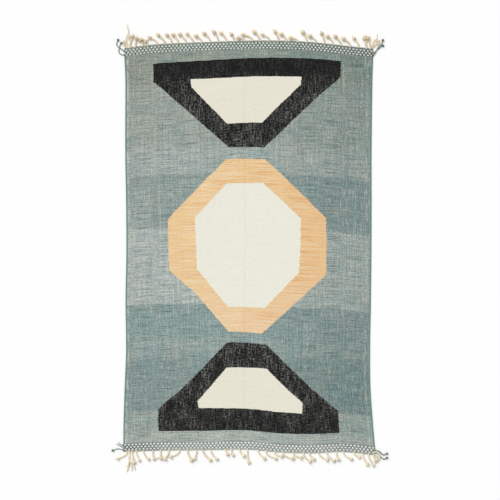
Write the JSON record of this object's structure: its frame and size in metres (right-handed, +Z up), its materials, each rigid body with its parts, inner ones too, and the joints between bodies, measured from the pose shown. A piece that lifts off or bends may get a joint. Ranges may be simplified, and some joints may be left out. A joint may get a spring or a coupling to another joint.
{
  "type": "berber kilim",
  "caption": "Flat-woven wool rug lying flat, with an openwork net and a knotted tassel fringe at both ends.",
  "frame": {"origin": "middle of the cloth's flat underside, at floor level", "axes": "+Z up out of the floor, +Y along the rug's length towards its head, +X across it to the right"},
  "size_m": [1.675, 2.6878, 0.012],
  "materials": {
    "woven_wool": "matt weft-faced wool weave in grey teal, with cream, ochre and charcoal octagons",
    "net_yarn": "matt dark teal yarn twined into an open net",
    "warp_ends": "matt undyed beige warp ends, twisted and knotted"
  },
  "bodies": {
    "root": {"cloth": "woven_wool", "head_net": "net_yarn", "foot_net": "net_yarn", "head_fringe": "warp_ends", "foot_fringe": "warp_ends"}
  },
  "joints": []
}
